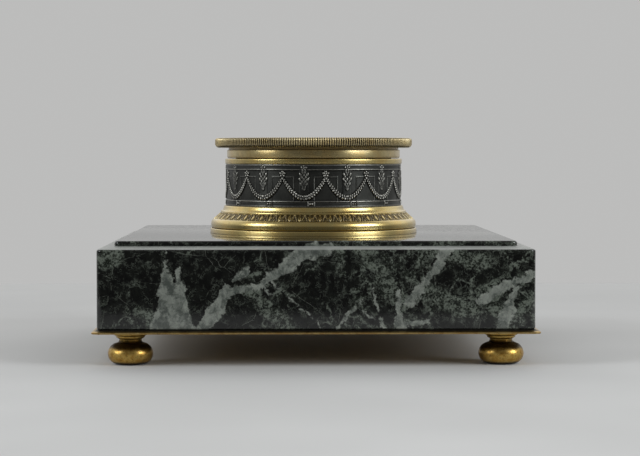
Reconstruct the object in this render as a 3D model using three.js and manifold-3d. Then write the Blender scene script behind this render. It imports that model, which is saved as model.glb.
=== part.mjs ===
// Desk inkwell: a stepped marble slab on a bronze plate with four turned bun feet, and a
// round brass drum with a hinged, milled-edge lid over a lift-out porcelain ink pot.
//
// Millimetres, +Z up, front is -Y, hinge at the back. The origin is on the desk surface,
// under the middle of the object.

import * as THREE from "three";
import { mergeVertices } from "three/addons/utils/BufferGeometryUtils.js";
import Module from "manifold-3d";

const wasm = await Module();
wasm.setup();

// ---- Driving dimensions ------------------------------------------------------------

const SLAB_SIDE = 140;          // marble, lower tier
const SLAB_TIER_SIDE = 129.5;   // marble, raised top tier
const SLAB_BOTTOM = 12.0;
const SLAB_EDGE_TOP = 37.4;     // where the front face meets the sloped ledge
const SLAB_LEDGE_TOP = 38.3;    // where the sloped ledge meets the riser
const SLAB_TOP = 40.0;
const SLAB_CORNER = 2.0;
const SLAB_ROUNDING = 1.4;
const TIER_ROUNDING = 0.9;

const PLATE_SIDE = 143.4;
const PLATE_BOTTOM = 10.6;
const PLATE_LIP = 0.6;          // height of the plate's upright edge

const FOOT_SPACING = 120;
const FOOT_RADIUS = 7.35;
const FOOT_BUN_HEIGHT = 6.9;
const FOOT_NECK = 3.65;
const FOOT_FLANGE_BOTTOM = 9.5;
const FOOT_FLANGE = 5.45;
const FOOT_STUD = 1.9;
const FOOT_STUD_TOP = 15.0;
const NUT_RECESS = 5.2;
const NUT_RECESS_DEPTH = 4.6;
const FOOT_NUT_HEIGHT = 2.4;

const PLINTH_RADIUS = 36.7;
const PLINTH_TOP = 41.75;
const LEAF_BELLY = 36.4;        // widest radius of the leaf moulding
const LEAF_BELLY_TOP = 45.3;    // the leaf band's slope rises from here ...
const LEAF_SLOPE_TOP = 48.6;    // ... to here, where it meets a fillet
const LEAF_TOP = 49.6;
const FRIEZE_TOP = 64.7;
const FRIEZE_RADIUS = 31.2;
const COLLAR_RADIUS = 31.4;
const COLLAR_TOP = 66.2;
const SHELL_INNER = 29.8;       // inside radius of the drum's stacked rings
const COLLAR_INNER = 27.6;

const LINER_RADIUS = 26.4;
const LINER_WALL = 1.2;
const LINER_FLANGE = 29.4;
const LINER_FLANGE_TOP = 63.5;
const LINER_BOTTOM = 40.5;

const POT_FLANGE = 26.5;
const POT_RADIUS = 24.6;
const POT_WALL = 2.0;
const POT_TOP = 65.0;
const POT_BOTTOM = 43.4;

const LID_BOTTOM = 66.8;
const LID_UNDERSIDE = 70.0;
const LID_SKIRT_RADIUS = 30.7;
const LID_SKIRT_INNER = 28.0;
const LID_RIM_RADIUS = 34.95;
const LID_RIM_CURVE = 1.5;      // radius of the curve under the rim
const LID_SHOULDER = 0.8;       // radius of the curve over the rim
const LID_RIM_TOP = 73.4;
const LID_CROWN = 73.6;

const PIN_Y = 34.0;
const PIN_Z = 66.5;
const PIN_RADIUS = 0.65;
const BARREL_RADIUS = 1.4;
const BARREL_BORE = 0.8;
const BARREL_HALF = 7.0;
const LID_KNUCKLE_HALF = 2.6;
const KNUCKLE_GAP = 0.3;
const HINGE_LEAF_HALF = 11.0;
const HINGE_LEAF_THICKNESS = 0.85;
const COLLAR_LEAF = { innerRadius: 31.55, bottom: 58.4, top: 64.9, screwHeight: 61.4, shank: 1.4 };
const LID_LEAF = { innerRadius: 31.05, bottom: 67.0, top: 69.1, screwHeight: 68.05, shank: 1.55 };
const SCREW_X = 9.2;
const SCREW_SHANK = 0.6;
const SCREW_HEAD = 1.05;

const BOLT_RADIUS = 2.0;
const BOLT_HEAD = 4.5;
const NUT_CORNERS = 8.2;        // across the corners of every hexagon nut
const CLEARANCE = 0.3;
const OVERSHOOT = 1;            // how far a cutting tool runs past the piece it cuts
const ROUND = 48;               // sides of a large turned piece
const SMALL_ROUND = 20;         // sides of a small turned piece

// ---- Materials ---------------------------------------------------------------------

const metal = (color, roughness) =>
  new THREE.MeshStandardMaterial({ color, roughness, metalness: 1 });

const brass = () => metal(0xa98f57, 0.32);
const agedBrass = () => metal(0x7d642f, 0.42);
const darkRelief = () => metal(0x4a4a47, 0.45);
const steel = () => metal(0x8d8b86, 0.4);
const marble = () => new THREE.MeshStandardMaterial({ color: 0x2a2e28, roughness: 0.14, metalness: 0 });
const porcelain = () => new THREE.MeshStandardMaterial({ color: 0xeeece4, roughness: 0.12, metalness: 0 });

// ---- Geometry helpers --------------------------------------------------------------

// A turned piece from a profile of [radius, height] pairs, given bottom outside first.
function turned(profile, sides = ROUND) {
  const points = profile.map(([radius, height]) => new THREE.Vector2(radius, height));
  return new THREE.LatheGeometry(points, sides).rotateX(Math.PI / 2);
}

// A turned ring: the profile closes on itself.
function turnedRing(profile, sides = ROUND) {
  return turned([...profile, profile[0]], sides);
}

// Points on an arc in the profile plane, angles in degrees from the outward direction.
function arc(centreRadius, centreHeight, radius, fromDegrees, toDegrees, steps) {
  return Array.from({ length: steps + 1 }, (_, i) => {
    const angle = THREE.MathUtils.degToRad(fromDegrees + ((toDegrees - fromDegrees) * i) / steps);
    return [centreRadius + radius * Math.cos(angle), centreHeight + radius * Math.sin(angle)];
  });
}

// An upright cylinder between two heights.
function rod(radius, bottom, top, sides = SMALL_ROUND) {
  return turned([[0, bottom], [radius, bottom], [radius, top], [0, top]], sides);
}

// A box given by its lowest and highest corners.
function box(low, high) {
  const size = high.map((value, i) => value - low[i]);
  const centre = high.map((value, i) => (value + low[i]) / 2);
  return new THREE.BoxGeometry(...size).translate(...centre);
}

// A square block lofted through levels of [half side, height, corner radius].
function squareLoft(levels, cornerSteps = 4) {
  const perLevel = 4 * (cornerSteps + 1);
  const positions = [];
  for (const [half, height, corner] of levels) {
    for (let quarter = 0; quarter < 4; quarter++) {
      for (let step = 0; step <= cornerSteps; step++) {
        const angle = (quarter + step / cornerSteps) * (Math.PI / 2);
        const signX = quarter === 0 || quarter === 3 ? 1 : -1;
        const signY = quarter < 2 ? 1 : -1;
        positions.push(
          signX * (half - corner) + corner * Math.cos(angle),
          signY * (half - corner) + corner * Math.sin(angle),
          height,
        );
      }
    }
  }
  const index = [];
  for (let level = 0; level + 1 < levels.length; level++) {
    for (let i = 0; i < perLevel; i++) {
      const a = level * perLevel + i;
      const b = level * perLevel + ((i + 1) % perLevel);
      index.push(a, b, b + perLevel, a, b + perLevel, a + perLevel);
    }
  }
  const last = (levels.length - 1) * perLevel;
  for (let i = 1; i + 1 < perLevel; i++) {
    index.push(0, i + 1, i);
    index.push(last, last + i, last + i + 1);
  }
  const geometry = new THREE.BufferGeometry();
  geometry.setAttribute("position", new THREE.Float32BufferAttribute(positions, 3));
  geometry.setIndex(index);
  return geometry;
}

// ---- Cutting and joining -----------------------------------------------------------

function toSolid(geometry) {
  const bare = geometry.clone();
  bare.deleteAttribute("normal");
  bare.deleteAttribute("uv");
  const merged = mergeVertices(bare, 1e-4);
  const corners = merged.index.array;
  const triangles = [];
  for (let i = 0; i < corners.length; i += 3) {
    const [a, b, c] = [corners[i], corners[i + 1], corners[i + 2]];
    if (a !== b && b !== c && c !== a) triangles.push(a, b, c);
  }
  return new wasm.Manifold(new wasm.Mesh({
    numProp: 3,
    vertProperties: new Float32Array(merged.attributes.position.array),
    triVerts: new Uint32Array(triangles),
  }));
}

function fromSolid(solid) {
  const mesh = solid.getMesh();
  const geometry = new THREE.BufferGeometry();
  geometry.setAttribute("position", new THREE.BufferAttribute(mesh.vertProperties, 3));
  geometry.setIndex(new THREE.BufferAttribute(mesh.triVerts, 1));
  geometry.computeVertexNormals();
  return geometry;
}

const cut = (body, ...tools) =>
  fromSolid(tools.reduce((solid, tool) => solid.subtract(toSolid(tool)), toSolid(body)));

const join = (body, ...others) =>
  fromSolid(others.reduce((solid, other) => solid.add(toSolid(other)), toSolid(body)));

const common = (body, other) => fromSolid(toSolid(body).intersect(toSolid(other)));

// ---- Assembly ----------------------------------------------------------------------

const group = new THREE.Group();

function place(name, geometry, material, x = 0, y = 0) {
  const mesh = new THREE.Mesh(geometry, material);
  mesh.name = name;
  mesh.position.set(x, y, 0);
  group.add(mesh);
}

const feet = ["front", "rear"].flatMap((row) =>
  ["left", "right"].map((side) => ({
    name: `${row}_${side}`,
    x: (side === "left" ? -1 : 1) * (FOOT_SPACING / 2),
    y: (row === "front" ? -1 : 1) * (FOOT_SPACING / 2),
  })));

// ---- Base: feet, plate and marble --------------------------------------------------

// A flattened bun on a waisted neck, with a flange and a stud that goes up through the plate.
function footGeometry() {
  const bun = FOOT_BUN_HEIGHT / 2;
  return turned([
    [0, 0],
    ...arc(FOOT_RADIUS - bun, bun, bun, -90, 72, 8),
    [FOOT_NECK, FOOT_BUN_HEIGHT + 0.5],
    [FOOT_NECK, FOOT_FLANGE_BOTTOM - 0.9],
    [FOOT_FLANGE, FOOT_FLANGE_BOTTOM],
    [FOOT_FLANGE, PLATE_BOTTOM],
    [FOOT_STUD, PLATE_BOTTOM],
    [FOOT_STUD, FOOT_STUD_TOP],
    [0, FOOT_STUD_TOP],
  ], 24);
}

function nutGeometry(bore, bottom, top) {
  return cut(rod(NUT_CORNERS / 2, bottom, top, 6), rod(bore, bottom - OVERSHOOT, top + OVERSHOOT));
}

// A thin sheet whose edge stands upright and then slopes in, slightly hollowed, to the marble.
function plateGeometry() {
  const half = PLATE_SIDE / 2;
  const slabHalf = SLAB_SIDE / 2;
  const hollow = 0.35;
  const easing = 0.2;
  const plate = squareLoft([
    [half - easing, PLATE_BOTTOM, SLAB_CORNER],
    [half, PLATE_BOTTOM + easing, SLAB_CORNER + easing],
    [half, PLATE_BOTTOM + PLATE_LIP, SLAB_CORNER + easing],
    [(half + slabHalf) / 2 - hollow, (PLATE_BOTTOM + PLATE_LIP + SLAB_BOTTOM) / 2, SLAB_CORNER],
    [slabHalf - CLEARANCE, SLAB_BOTTOM, SLAB_CORNER],
  ]);
  const holeBottom = PLATE_BOTTOM - OVERSHOOT;
  const holeTop = SLAB_BOTTOM + OVERSHOOT;
  const boltHole = rod(BOLT_RADIUS + CLEARANCE, holeBottom, holeTop);
  const studHoles = feet.map(({ x, y }) =>
    rod(FOOT_STUD + CLEARANCE, holeBottom, holeTop).translate(x, y, 0));
  return cut(plate, boltHole, ...studHoles);
}

function marbleGeometry() {
  const half = SLAB_SIDE / 2;
  const tierHalf = SLAB_TIER_SIDE / 2;
  const easing = 0.3;
  const edge = arc(half - SLAB_ROUNDING, SLAB_EDGE_TOP - SLAB_ROUNDING, SLAB_ROUNDING, 0, 80, 3);
  const tierEdge = arc(tierHalf - TIER_ROUNDING, SLAB_TOP - TIER_ROUNDING, TIER_ROUNDING, 0, 90, 3);
  const rounded = (tier, radius) => SLAB_CORNER - (tier - radius);
  const slab = squareLoft([
    [half - easing, SLAB_BOTTOM, SLAB_CORNER - easing],
    [half, SLAB_BOTTOM + easing, SLAB_CORNER],
    ...edge.map(([radius, height]) => [radius, height, rounded(half, radius)]),
    [tierHalf, SLAB_LEDGE_TOP, SLAB_CORNER],
    ...tierEdge.map(([radius, height]) => [radius, height, rounded(tierHalf, radius)]),
  ]);
  const boltHole = rod(BOLT_RADIUS + CLEARANCE, SLAB_BOTTOM - OVERSHOOT, SLAB_TOP + OVERSHOOT);
  const recesses = feet.map(({ x, y }) =>
    rod(NUT_RECESS, SLAB_BOTTOM - OVERSHOOT, SLAB_BOTTOM + NUT_RECESS_DEPTH).translate(x, y, 0));
  return cut(slab, boltHole, ...recesses);
}

function buildBase() {
  const footNut = nutGeometry(FOOT_STUD + CLEARANCE, SLAB_BOTTOM, SLAB_BOTTOM + FOOT_NUT_HEIGHT);
  for (const { name, x, y } of feet) {
    place(`foot_${name}`, footGeometry(), agedBrass(), x, y);
    place(`foot_nut_${name}`, footNut, steel(), x, y);
  }
  place("base_plate", plateGeometry(), agedBrass());
  place("marble_base", marbleGeometry(), marble());
}

// ---- Drum: stacked rings clamped between the marble and the liner's flange ----------

function plinthGeometry() {
  return turnedRing([
    [SHELL_INNER, SLAB_TOP],
    [PLINTH_RADIUS, SLAB_TOP],
    [PLINTH_RADIUS - 0.2, SLAB_TOP + 0.4],
    [PLINTH_RADIUS - 0.6, SLAB_TOP + 1.1],
    [PLINTH_RADIUS - 0.8, PLINTH_TOP - 0.3],
    [PLINTH_RADIUS - 1.2, PLINTH_TOP],
    [SHELL_INNER, PLINTH_TOP],
  ]);
}

// A rounded belly, the slope that carries the engraved leaf band, and a fillet above it.
function leafMouldingGeometry() {
  const belly = 2.6;
  return turnedRing([
    [SHELL_INNER, PLINTH_TOP],
    [LEAF_BELLY - 0.4, PLINTH_TOP],
    [LEAF_BELLY, PLINTH_TOP + 0.4],
    ...arc(LEAF_BELLY - belly, LEAF_BELLY_TOP - belly * Math.sin(Math.PI / 4), belly, 0, 45, 4),
    [COLLAR_RADIUS + 0.7, LEAF_SLOPE_TOP],
    [COLLAR_RADIUS + 0.3, LEAF_SLOPE_TOP + 0.3],
    [COLLAR_RADIUS + 0.2, LEAF_TOP],
    [SHELL_INNER, LEAF_TOP],
  ]);
}

// A cylinder wall with plain raised edges, bored at the back for the hinge's screws.
function friezeGeometry() {
  const margin = 0.8;
  const relief = 0.25;
  const band = turnedRing([
    [SHELL_INNER, LEAF_TOP],
    [FRIEZE_RADIUS, LEAF_TOP],
    [FRIEZE_RADIUS, LEAF_TOP + margin],
    [FRIEZE_RADIUS - relief, LEAF_TOP + margin + relief],
    [FRIEZE_RADIUS - relief, FRIEZE_TOP - margin - relief],
    [FRIEZE_RADIUS, FRIEZE_TOP - margin],
    [FRIEZE_RADIUS, FRIEZE_TOP],
    [SHELL_INNER, FRIEZE_TOP],
  ]);
  return cut(band, ...screwHoles(COLLAR_LEAF));
}

// A rounded bead outside, and a step inside that locates the ring in the frieze band.
function collarGeometry() {
  const bead = (COLLAR_TOP - FRIEZE_TOP) / 2;
  const step = 1.0;
  return turnedRing([
    [COLLAR_INNER, FRIEZE_TOP - step],
    [SHELL_INNER - CLEARANCE, FRIEZE_TOP - step],
    [SHELL_INNER - CLEARANCE, FRIEZE_TOP],
    ...arc(COLLAR_RADIUS - bead, FRIEZE_TOP + bead, bead, -90, 90, 4),
    [COLLAR_INNER, COLLAR_TOP],
  ]);
}

// The cup that clamps the stack: its flange bears on the drum's shell from inside.
function linerGeometry() {
  const inner = LINER_RADIUS - LINER_WALL;
  const floor = LINER_BOTTOM + LINER_WALL;
  const corner = 1.2;
  const cup = turned([
    [0, LINER_BOTTOM],
    [LINER_RADIUS - corner, LINER_BOTTOM],
    [LINER_RADIUS, LINER_BOTTOM + corner],
    [LINER_RADIUS, LINER_FLANGE_TOP - LINER_WALL],
    [LINER_FLANGE, LINER_FLANGE_TOP - LINER_WALL],
    [LINER_FLANGE, LINER_FLANGE_TOP],
    [inner, LINER_FLANGE_TOP],
    [inner, floor + corner],
    [inner - corner, floor],
    [0, floor],
  ]);
  return cut(cup, rod(BOLT_RADIUS + CLEARANCE, LINER_BOTTOM - OVERSHOOT, floor + OVERSHOOT));
}

// White pot with a flat rim, a foot ring, a rounded lip and a rounded floor inside.
function potGeometry() {
  const inner = POT_RADIUS - POT_WALL;
  const floor = POT_BOTTOM + POT_WALL;
  const floorCurve = 4.0;
  const heel = 3.5;
  const footRing = { inner: 17, outer: 20, height: 0.6 };
  const lip = 0.7;
  return turned([
    [0, POT_BOTTOM + footRing.height],
    [footRing.inner, POT_BOTTOM + footRing.height],
    [footRing.inner, POT_BOTTOM],
    [footRing.outer, POT_BOTTOM],
    ...arc(POT_RADIUS - heel, POT_BOTTOM + heel + footRing.height, heel, -60, 0, 3),
    [POT_RADIUS, LINER_FLANGE_TOP],
    [POT_FLANGE, LINER_FLANGE_TOP],
    [POT_FLANGE, POT_TOP - lip],
    [POT_FLANGE - lip, POT_TOP],
    [inner + lip, POT_TOP],
    [inner, POT_TOP - lip],
    ...arc(inner - floorCurve, floor + floorCurve, floorCurve, 0, -90, 4),
    [0, floor],
  ], 40);
}

function buildDrum() {
  place("drum_plinth", plinthGeometry(), brass());
  place("leaf_moulding", leafMouldingGeometry(), brass());
  place("frieze_band", friezeGeometry(), darkRelief());
  place("collar_ring", collarGeometry(), brass());
  place("well_liner", linerGeometry(), brass());
  place("ink_pot", potGeometry(), porcelain());
}

// ---- Through bolt that holds the drum, the marble and the plate together -------------

// A slotted pan head inside the liner, and a plain shank down to the nut.
function boltGeometry(boltEnd) {
  const floor = LINER_BOTTOM + LINER_WALL;
  const headTop = floor + 1.3;
  const bevel = 0.5;
  const slotHalf = 0.5;
  const slotDepth = 0.7;
  const bolt = turned([
    [0, boltEnd],
    [BOLT_RADIUS - bevel, boltEnd],
    [BOLT_RADIUS, boltEnd + bevel],
    [BOLT_RADIUS, floor],
    [BOLT_HEAD, floor],
    [BOLT_HEAD, headTop - bevel],
    [BOLT_HEAD - bevel, headTop],
    [0, headTop],
  ], SMALL_ROUND);
  const slot = box(
    [-BOLT_HEAD - OVERSHOOT, -slotHalf, headTop - slotDepth],
    [BOLT_HEAD + OVERSHOOT, slotHalf, headTop + OVERSHOOT],
  );
  return cut(bolt, slot);
}

function buildFixing() {
  const washerRadius = 7.0;
  const washerBottom = PLATE_BOTTOM - 1.0;
  const nutBottom = washerBottom - 3.0;
  const washer = cut(
    rod(washerRadius, washerBottom, PLATE_BOTTOM),
    rod(BOLT_RADIUS + CLEARANCE, washerBottom - OVERSHOOT, PLATE_BOTTOM + OVERSHOOT),
  );
  place("fixing_bolt", boltGeometry(nutBottom - 1.2), steel());
  place("fixing_washer", washer, steel());
  place("fixing_nut", nutGeometry(BOLT_RADIUS + CLEARANCE, nutBottom, washerBottom), steel());
}

// ---- Lid -----------------------------------------------------------------------------

// Cap with an overhanging rim: curved below, upright at the edge, and rounded over to a top
// that is a very shallow dome.
function lidCapGeometry() {
  const rise = LID_CROWN - LID_RIM_TOP;
  const crownEdge = LID_RIM_RADIUS - LID_SHOULDER;
  const crownRadius = (crownEdge ** 2 + rise ** 2) / (2 * rise);
  const crownSteps = 4;
  const crown = Array.from({ length: crownSteps + 1 }, (_, i) => {
    const radius = crownEdge * (1 - i / crownSteps);
    return [radius, LID_CROWN - crownRadius + Math.sqrt(crownRadius ** 2 - radius ** 2)];
  });
  const curve = LID_RIM_CURVE;
  return turned([
    [0, LID_UNDERSIDE],
    ...arc(LID_RIM_RADIUS - curve, LID_UNDERSIDE + curve, curve, -90, 0, 4),
    ...arc(crownEdge, LID_RIM_TOP - LID_SHOULDER, LID_SHOULDER, 0, 67.5, 3),
    ...crown,
  ]);
}

function lidRingGeometry() {
  const ring = turnedRing([
    [LID_SKIRT_INNER, LID_BOTTOM],
    [LID_SKIRT_RADIUS, LID_BOTTOM],
    [LID_SKIRT_RADIUS, LID_UNDERSIDE],
    [LID_SKIRT_INNER, LID_UNDERSIDE],
  ]);
  return cut(ring, ...screwHoles(LID_LEAF));
}

// ---- Hinge at the back ---------------------------------------------------------------

// A cylinder along X centred on the hinge pin.
function alongPin(radius, fromX, toX) {
  return rod(radius, fromX, toX, 16).rotateY(Math.PI / 2).translate(0, PIN_Y, PIN_Z);
}

// A leaf that follows the drum's wall at the back.
function curvedLeaf({ innerRadius, bottom, top }) {
  const outerRadius = innerRadius + HINGE_LEAF_THICKNESS;
  const ring = turnedRing([
    [innerRadius, bottom],
    [outerRadius, bottom],
    [outerRadius, top],
    [innerRadius, top],
  ], 2 * ROUND);
  const backPart = box(
    [-HINGE_LEAF_HALF, 0, bottom - OVERSHOOT],
    [HINGE_LEAF_HALF, outerRadius + OVERSHOOT, top + OVERSHOOT],
  );
  return common(ring, backPart);
}

// Takes a piece drawn along +Y from the drum's axis to a screw's place on a leaf.
function atScrew(geometry, leaf, side) {
  const angle = Math.asin((side * SCREW_X) / leaf.innerRadius);
  return geometry.rotateX(-Math.PI / 2).translate(0, 0, leaf.screwHeight).rotateZ(-angle);
}

function screwHoles(leaf) {
  const deep = leaf.innerRadius - leaf.shank - CLEARANCE;
  const clear = leaf.innerRadius + HINGE_LEAF_THICKNESS + OVERSHOOT;
  return [-1, 1].map((side) => atScrew(rod(SCREW_SHANK + CLEARANCE, deep, clear, 12), leaf, side));
}

function screwGeometry(leaf, side) {
  const face = leaf.innerRadius + HINGE_LEAF_THICKNESS;
  const headHeight = 0.55;
  const screw = turned([
    [0, leaf.innerRadius - leaf.shank],
    [SCREW_SHANK, leaf.innerRadius - leaf.shank],
    [SCREW_SHANK, face],
    [SCREW_HEAD, face],
    [SCREW_HEAD * 0.8, face + headHeight * 0.75],
    [0, face + headHeight],
  ], 12);
  return atScrew(screw, leaf, side);
}

// The two outer knuckles stand on necks above the leaf, clear of the lid's knuckle.
function collarLeafGeometry() {
  const { innerRadius, top } = COLLAR_LEAF;
  const knuckleFrom = LID_KNUCKLE_HALF + KNUCKLE_GAP;
  const knuckles = [[-BARREL_HALF, -knuckleFrom], [knuckleFrom, BARREL_HALF]].flatMap(([low, high]) => [
    alongPin(BARREL_RADIUS, low, high),
    box([low, innerRadius + CLEARANCE, top - 1.2], [high, PIN_Y, PIN_Z]),
  ]);
  const leaf = join(curvedLeaf(COLLAR_LEAF), ...knuckles);
  const pinBore = alongPin(BARREL_BORE, -BARREL_HALF - OVERSHOOT, BARREL_HALF + OVERSHOOT);
  return cut(leaf, pinBore, ...screwHoles(COLLAR_LEAF));
}

// The middle knuckle reaches back from the leaf on the lid's skirt.
function lidLeafGeometry() {
  const half = LID_KNUCKLE_HALF;
  const neck = box(
    [-half, LID_LEAF.innerRadius + CLEARANCE, LID_LEAF.bottom],
    [half, PIN_Y, PIN_Z + BARREL_RADIUS],
  );
  const leaf = join(curvedLeaf(LID_LEAF), alongPin(BARREL_RADIUS, -half, half), neck);
  const pinBore = alongPin(BARREL_BORE, -half - OVERSHOOT, half + OVERSHOOT);
  return cut(leaf, pinBore, ...screwHoles(LID_LEAF));
}

// A plain pin with a small peened head at each end.
function pinGeometry() {
  const headRadius = 1.0;
  const headLength = 0.5;
  const end = BARREL_HALF + KNUCKLE_GAP;
  return join(
    alongPin(PIN_RADIUS, -end, end),
    alongPin(headRadius, -end - headLength, -end),
    alongPin(headRadius, end, end + headLength),
  );
}

function buildLidAndHinge() {
  place("lid_cap", lidCapGeometry(), brass());
  place("lid_ring", lidRingGeometry(), brass());
  place("hinge_collar_leaf", collarLeafGeometry(), brass());
  place("hinge_lid_leaf", lidLeafGeometry(), brass());
  place("hinge_pin", pinGeometry(), steel());
  for (const [name, side] of [["left", -1], ["right", 1]]) {
    place(`hinge_collar_screw_${name}`, screwGeometry(COLLAR_LEAF, side), steel());
    place(`hinge_lid_screw_${name}`, screwGeometry(LID_LEAF, side), steel());
  }
}

buildBase();
buildDrum();
buildFixing();
buildLidAndHinge();

export default group;
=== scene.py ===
"""Desk inkwell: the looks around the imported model.

Lengths in this script are millimetres unless a name says otherwise, and become metres when
a mesh is made. Angle 0 round the drum faces the front, and positive goes towards the right.
"""

import math

import bpy
import numpy as np
from mathutils import Matrix, Vector


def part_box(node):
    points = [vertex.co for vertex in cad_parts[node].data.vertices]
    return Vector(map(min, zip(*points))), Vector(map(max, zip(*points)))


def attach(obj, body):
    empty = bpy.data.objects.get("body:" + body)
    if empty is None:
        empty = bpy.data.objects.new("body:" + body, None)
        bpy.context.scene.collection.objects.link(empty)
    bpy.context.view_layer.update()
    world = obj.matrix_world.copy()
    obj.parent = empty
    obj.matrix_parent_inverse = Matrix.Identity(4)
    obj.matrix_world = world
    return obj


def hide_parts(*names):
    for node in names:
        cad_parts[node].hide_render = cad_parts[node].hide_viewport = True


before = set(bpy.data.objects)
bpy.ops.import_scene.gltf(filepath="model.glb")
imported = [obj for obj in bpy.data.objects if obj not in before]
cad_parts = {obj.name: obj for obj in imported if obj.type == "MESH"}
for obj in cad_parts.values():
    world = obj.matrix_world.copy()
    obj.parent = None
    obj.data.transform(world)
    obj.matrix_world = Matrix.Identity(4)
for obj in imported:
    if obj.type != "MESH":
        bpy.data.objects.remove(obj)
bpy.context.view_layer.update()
bpy.context.scene.view_settings.view_transform = "Standard"

MM = 0.001


# ---- Where the CAD pieces are ----


def extent(node):
    """Half width, bottom and top of a CAD node that is centred on the drum's axis."""
    low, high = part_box(node)
    return high[0] / MM, low[2] / MM, high[2] / MM


SLAB_HALF, SLAB_BOTTOM, SLAB_TOP = extent("marble_base")
PLATE_HALF, PLATE_BOTTOM, PLATE_TOP = extent("base_plate")
PLINTH_RADIUS, _, PLINTH_TOP = extent("drum_plinth")
BELLY_RADIUS, _, MOULDING_TOP = extent("leaf_moulding")
FRIEZE_RADIUS, _, FRIEZE_TOP = extent("frieze_band")
COLLAR_RADIUS, _, COLLAR_TOP = extent("collar_ring")
LINER_FLANGE, LINER_BOTTOM, LINER_TOP = extent("well_liner")
POT_FLANGE, POT_BOTTOM, POT_TOP = extent("ink_pot")
SKIRT_RADIUS, LID_BOTTOM, LID_UNDERSIDE = extent("lid_ring")
RIM_RADIUS, _, LID_CROWN = extent("lid_cap")
WASHER_RADIUS, WASHER_BOTTOM, _ = extent("fixing_washer")
BOLT_HEAD, BOLT_END, BOLT_TOP = extent("fixing_bolt")

SHELL_INNER = 29.8              # bore of the plinth, the moulding and the frieze
SLAB_EDGE_TOP = 37.4            # where the slab's front face turns into the ledge
TIER_HALF = 64.75               # half the width of the raised square tier
LEDGE_TOP = 38.3                # where the ledge meets the tier
POT_INNER = 22.6                # radius of the pot's bore
BOLT_HOLE = 2.3                 # radius of the bolt's holes in the liner, the washer and the nut
STUD_HOLE = 2.2                 # radius of the foot nuts' holes
CORNERS = [f"{row}_{side}" for row in ("front", "rear") for side in ("left", "right")]


# ---- Node helpers ----


class Nodes:
    """Short calls that add nodes to a node tree."""

    def __init__(self, tree):
        self.tree = tree

    def node(self, kind, inputs=None, **settings):
        made = self.tree.nodes.new(kind)
        for key, value in settings.items():
            setattr(made, key, value)
        for key, value in (inputs or {}).items():
            self.feed(made.inputs[key], value)
        return made

    def feed(self, socket, value):
        if isinstance(value, bpy.types.NodeSocket):
            self.tree.links.new(value, socket)
        else:
            socket.default_value = value

    def axes(self, vector):
        return self.node("ShaderNodeSeparateXYZ", {0: vector}).outputs

    def math(self, operation, a, b=0.0, c=0.0, clamp=False):
        made = self.node("ShaderNodeMath", {0: a, 1: b, 2: c}, operation=operation, use_clamp=clamp)
        return made.outputs[0]

    def times(self, a, b):
        return self.math("MULTIPLY", a, b)

    def larger(self, a, b):
        return self.math("MAXIMUM", a, b)

    def scale_add(self, value, scale, more):
        """value * scale + more"""
        return self.math("MULTIPLY_ADD", value, scale, more)

    def vector_math(self, operation, a, b):
        second = "Scale" if operation == "SCALE" else 1
        made = self.node("ShaderNodeVectorMath", {0: a, second: b}, operation=operation)
        return made.outputs["Value" if operation in ("DOT_PRODUCT", "DISTANCE") else "Vector"]

    def ramp(self, value, low, high, start=0.0, end=1.0):
        """start below low, end above high, and a smooth step between."""
        inputs = {"Value": value, "From Min": low, "From Max": high, "To Min": start, "To Max": end}
        made = self.node("ShaderNodeMapRange", inputs, interpolation_type="SMOOTHSTEP", clamp=True)
        return made.outputs["Result"]


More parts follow.
